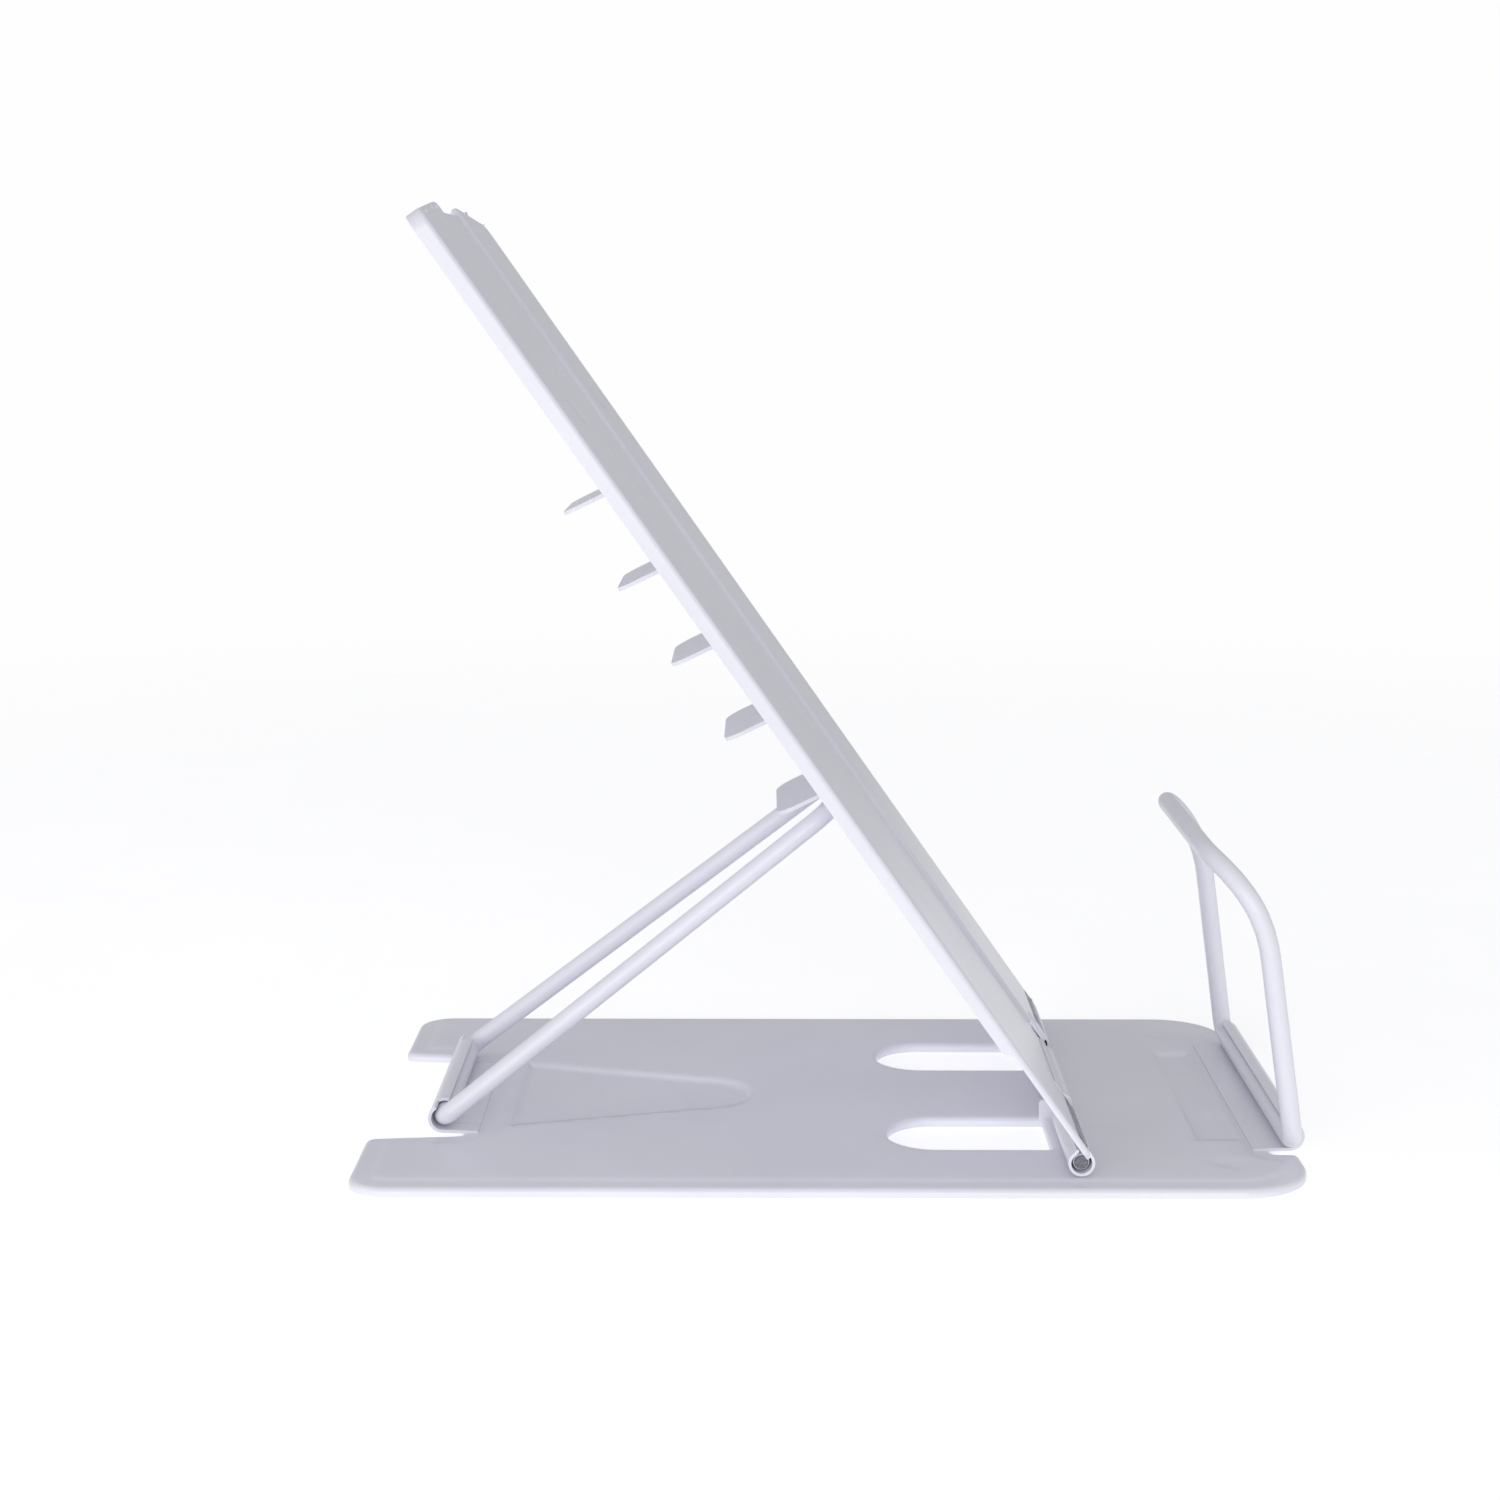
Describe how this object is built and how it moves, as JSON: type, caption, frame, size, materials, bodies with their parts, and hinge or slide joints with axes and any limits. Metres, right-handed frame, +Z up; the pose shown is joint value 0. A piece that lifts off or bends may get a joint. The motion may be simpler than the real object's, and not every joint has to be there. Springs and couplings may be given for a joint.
{
  "type": "laptop stand",
  "caption": "Folding pressed-steel laptop stand: slotted base plate, tilting back plate with rest tabs, rear wire strut and front wire retaining loop.",
  "frame": {"origin": "centre of the footprint, on the table", "axes": "+X towards the user and the retaining loop, +Y across the stand, +Z up"},
  "size_m": [0.2365, 0.15, 0.2365],
  "materials": {
    "base_coat": "smooth glossy pale powder coat over pressed steel, with a faint orange peel and rounded sheet edges",
    "back_coat": "smooth glossy pale powder coat over pressed steel, with a faint orange peel and rounded sheet edges",
    "rack_coat": "smooth glossy pale powder coat over pressed steel, with a faint orange peel and rounded sheet edges",
    "wire_coat": "smooth glossy pale powder coat over round steel wire",
    "rod_steel": "plain drawn steel, slightly dull at the cut ends",
    "foot_rubber": "matt dark rubber"
  },
  "bodies": {
    "base": {"base_plate": "base_coat", "hinge_rod": "rod_steel", "foot_rear_left": "foot_rubber", "foot_rear_right": "foot_rubber", "foot_front_left": "foot_rubber", "foot_front_right": "foot_rubber"},
    "back": {"back_plate": "back_coat", "rest_rack": "rack_coat"},
    "strut": {"strut_wire": "wire_coat"},
    "loop": {"retaining_loop": "wire_coat"}
  },
  "joints": [
    {"name": "back_tilt", "type": "hinge", "parent": "base", "child": "back", "pos_m": [0.0599, 0, 0.0064], "axis": [0, 1, 0], "range_deg": [0, 25]},
    {"name": "strut_swing", "type": "hinge", "parent": "base", "child": "strut", "pos_m": [-0.0993, 0, 0.006], "axis": [0, 1, 0], "range_deg": [0, 38]},
    {"name": "loop_fold", "type": "hinge", "parent": "base", "child": "loop", "pos_m": [0.1146, 0, 0.006], "axis": [0, 1, 0], "range_deg": [-33, 0]}
  ]
}
